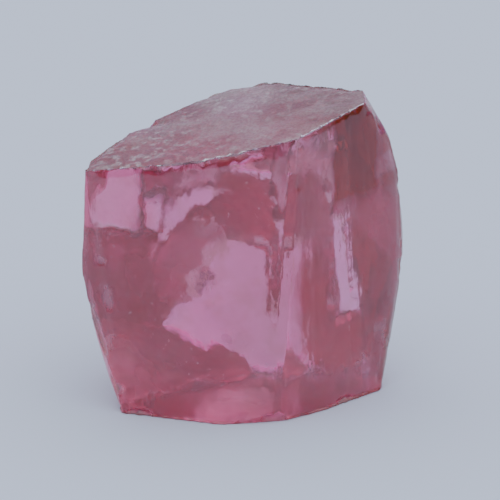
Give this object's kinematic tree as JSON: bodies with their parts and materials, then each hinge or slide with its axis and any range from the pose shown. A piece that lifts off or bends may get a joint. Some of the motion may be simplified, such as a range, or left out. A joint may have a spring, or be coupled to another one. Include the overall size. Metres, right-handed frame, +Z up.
{
  "type": "rough sapphire crystal",
  "caption": "Rough, uncut pink sapphire: a cleaved block of clear crystal with a frosted sloping top, chipped edges and a flat base to rest on.",
  "frame": {"origin": "middle of the crystal's bounding box, on the surface that it rests on", "axes": "+Z up; +X along the broad front face, towards the side where the top is highest; +Y into the crystal, away from the broad front face"},
  "size_m": [0.0158, 0.0128, 0.0154],
  "materials": {
    "crystal": "clear pink crystal, glossy on broken faces and frosted on top"
  },
  "bodies": {
    "root": {"rough_sapphire": "crystal"}
  },
  "joints": []
}
